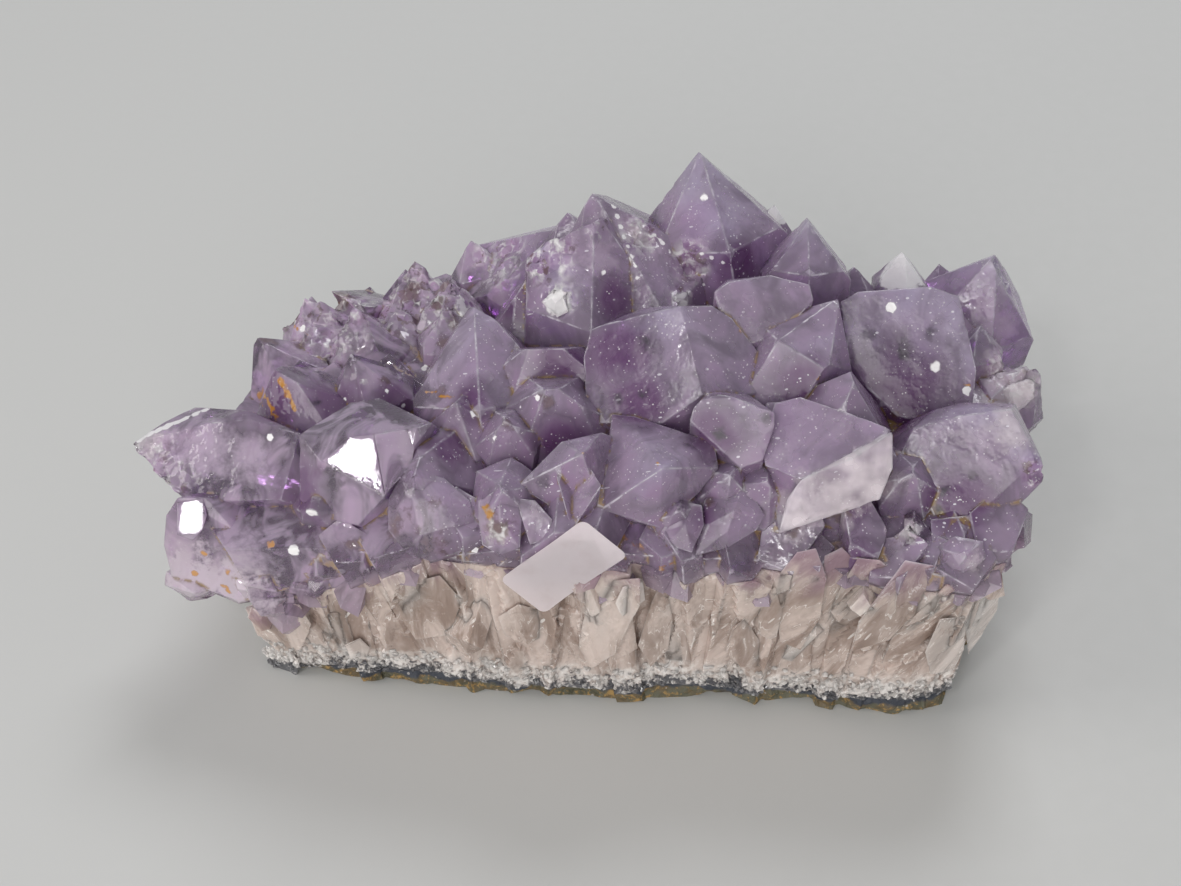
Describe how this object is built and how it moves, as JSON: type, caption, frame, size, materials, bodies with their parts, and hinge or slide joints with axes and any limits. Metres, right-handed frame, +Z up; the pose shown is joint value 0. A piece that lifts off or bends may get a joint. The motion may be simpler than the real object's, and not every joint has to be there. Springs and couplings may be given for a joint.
{
  "type": "amethyst cluster",
  "caption": "Hand-sized block of amethyst: intergrown purple quartz points on a broken wall of milky quartz, with a thin dark rock rind cut flat underneath.",
  "frame": {"origin": "middle of the bounding box on the flat underside", "axes": "+X along the block with the long front wall towards the viewer, from the overhanging left end to the upright right end; +Y from the front wall to the back; +Z up out of the underside, towards the crystal tips"},
  "size_m": [0.137, 0.0772, 0.0626],
  "materials": {
    "amethyst": "clear to cloudy purple crystal, glassy on the left, dusty on the right",
    "milky_quartz": "milky, glassy where it is broken",
    "rock": "rough, blue-black above and brown-green below",
    "label_paper": "matte, blank"
  },
  "bodies": {
    "root": {"amethyst_crystals": "amethyst", "milky_quartz_base": "milky_quartz", "rock_rind": "rock", "paper_label": "label_paper"}
  },
  "joints": []
}
